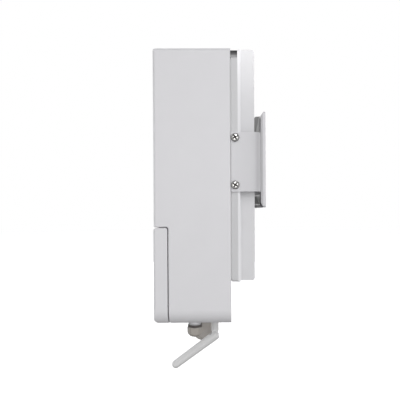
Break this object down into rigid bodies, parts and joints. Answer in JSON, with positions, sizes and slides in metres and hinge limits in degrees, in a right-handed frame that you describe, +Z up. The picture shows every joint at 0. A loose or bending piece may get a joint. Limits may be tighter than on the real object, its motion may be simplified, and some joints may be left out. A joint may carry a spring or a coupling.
{
  "type": "wall mounted electronic controller",
  "caption": "Wall mounted controller box with heat sink, side-screwed U bracket on a wall plate, hinged wiring cover, cable glands and a tilting antenna.",
  "frame": {"origin": "middle of the wall plate's rear face, which lies on the wall", "axes": "+Z up, +Y into the wall, the front of the unit faces -Y"},
  "size_m": [0.2044, 0.121, 0.3541],
  "materials": {
    "white_plastic": "satin moulded light grey white",
    "painted_sheet": "satin powder coat, light grey",
    "painted_aluminium": "satin light grey coat on aluminium",
    "steel": "bright nickel-plated steel",
    "black_rubber": "matt black",
    "brass": "bright",
    "clear_lens": "smoky translucent",
    "green_board": "satin solder mask",
    "terminal_plastic": "satin green",
    "capacitor_sleeve": "gloss sleeve",
    "ferrite": "matt ferrite",
    "coil_tape": "yellow tape",
    "choke_lacquer": "lacquered copper winding",
    "black_plastic": "satin black",
    "thermal_silicone": "matt grey silicone",
    "antenna_plastic": "satin light grey",
    "grey_nylon": "satin warm grey nylon"
  },
  "bodies": {
    "unit": {"board_screws": "steel", "board_standoffs": "brass", "bracket_screws": "steel", "capacitors": "capacitor_sleeve", "choke": "choke_lacquer", "clamp_bar": "steel", "clamp_screws": "steel", "coax_pigtail": "black_plastic", "cover_gasket": "black_rubber", "cover_hinge_pins": "steel", "cover_insert": "brass", "heat_sink": "painted_aluminium", "housing": "white_plastic", "housing_gasket": "black_rubber", "housing_screws": "steel", "large_gland_body": "grey_nylon", "large_gland_locknut": "grey_nylon", "large_gland_nut": "grey_nylon", "large_gland_seal": "black_rubber", "main_board": "green_board", "mounting_bracket": "painted_sheet", "plate_studs": "steel", "power_transistors": "black_plastic", "radio_module": "green_board", "radio_shield": "steel", "rear_frame": "painted_aluminium", "relays": "black_plastic", "sma_connector": "brass", "sma_nut": "brass", "small_gland_body": "grey_nylon", "small_gland_locknut": "grey_nylon", "small_gland_nut": "grey_nylon", "small_gland_seal": "black_rubber", "status_board": "green_board", "status_board_screws": "steel", "status_lamps": "clear_lens", "status_lens": "clear_lens", "stud_nuts": "steel", "terminal_block": "terminal_plastic", "terminal_screws": "steel", "thermal_pads": "thermal_silicone", "top_seal": "black_rubber", "transformer_coil": "coil_tape", "transformer_core": "ferrite", "wall_plate": "painted_sheet"},
    "cover": {"access_cover": "white_plastic"},
    "cover_screw": {"cover_screw": "steel"},
    "antenna_base": {"antenna_base": "antenna_plastic", "antenna_hinge_pin": "antenna_plastic"},
    "whip": {"antenna_whip": "antenna_plastic"}
  },
  "joints": [
    {"name": "cover_hinge", "type": "hinge", "parent": "unit", "child": "cover", "pos_m": [0, -0.1176, -0.077], "axis": [-1, 0, 0], "range_deg": [0, 90]},
    {"name": "cover_screw_travel", "type": "slide", "parent": "cover", "child": "cover_screw", "axis": [0, 1, 0], "range_m": [0, 0.006]},
    {"name": "antenna_swivel", "type": "hinge", "parent": "unit", "child": "antenna_base", "pos_m": [0.064, -0.0564, -0.1979], "axis": [0, 0, 1], "range_deg": [-8, 180]},
    {"name": "antenna_tilt", "type": "hinge", "parent": "antenna_base", "child": "whip", "pos_m": [0.064, -0.0564, -0.1979], "axis": [-1, 0, 0], "range_deg": [-54, 36]}
  ]
}
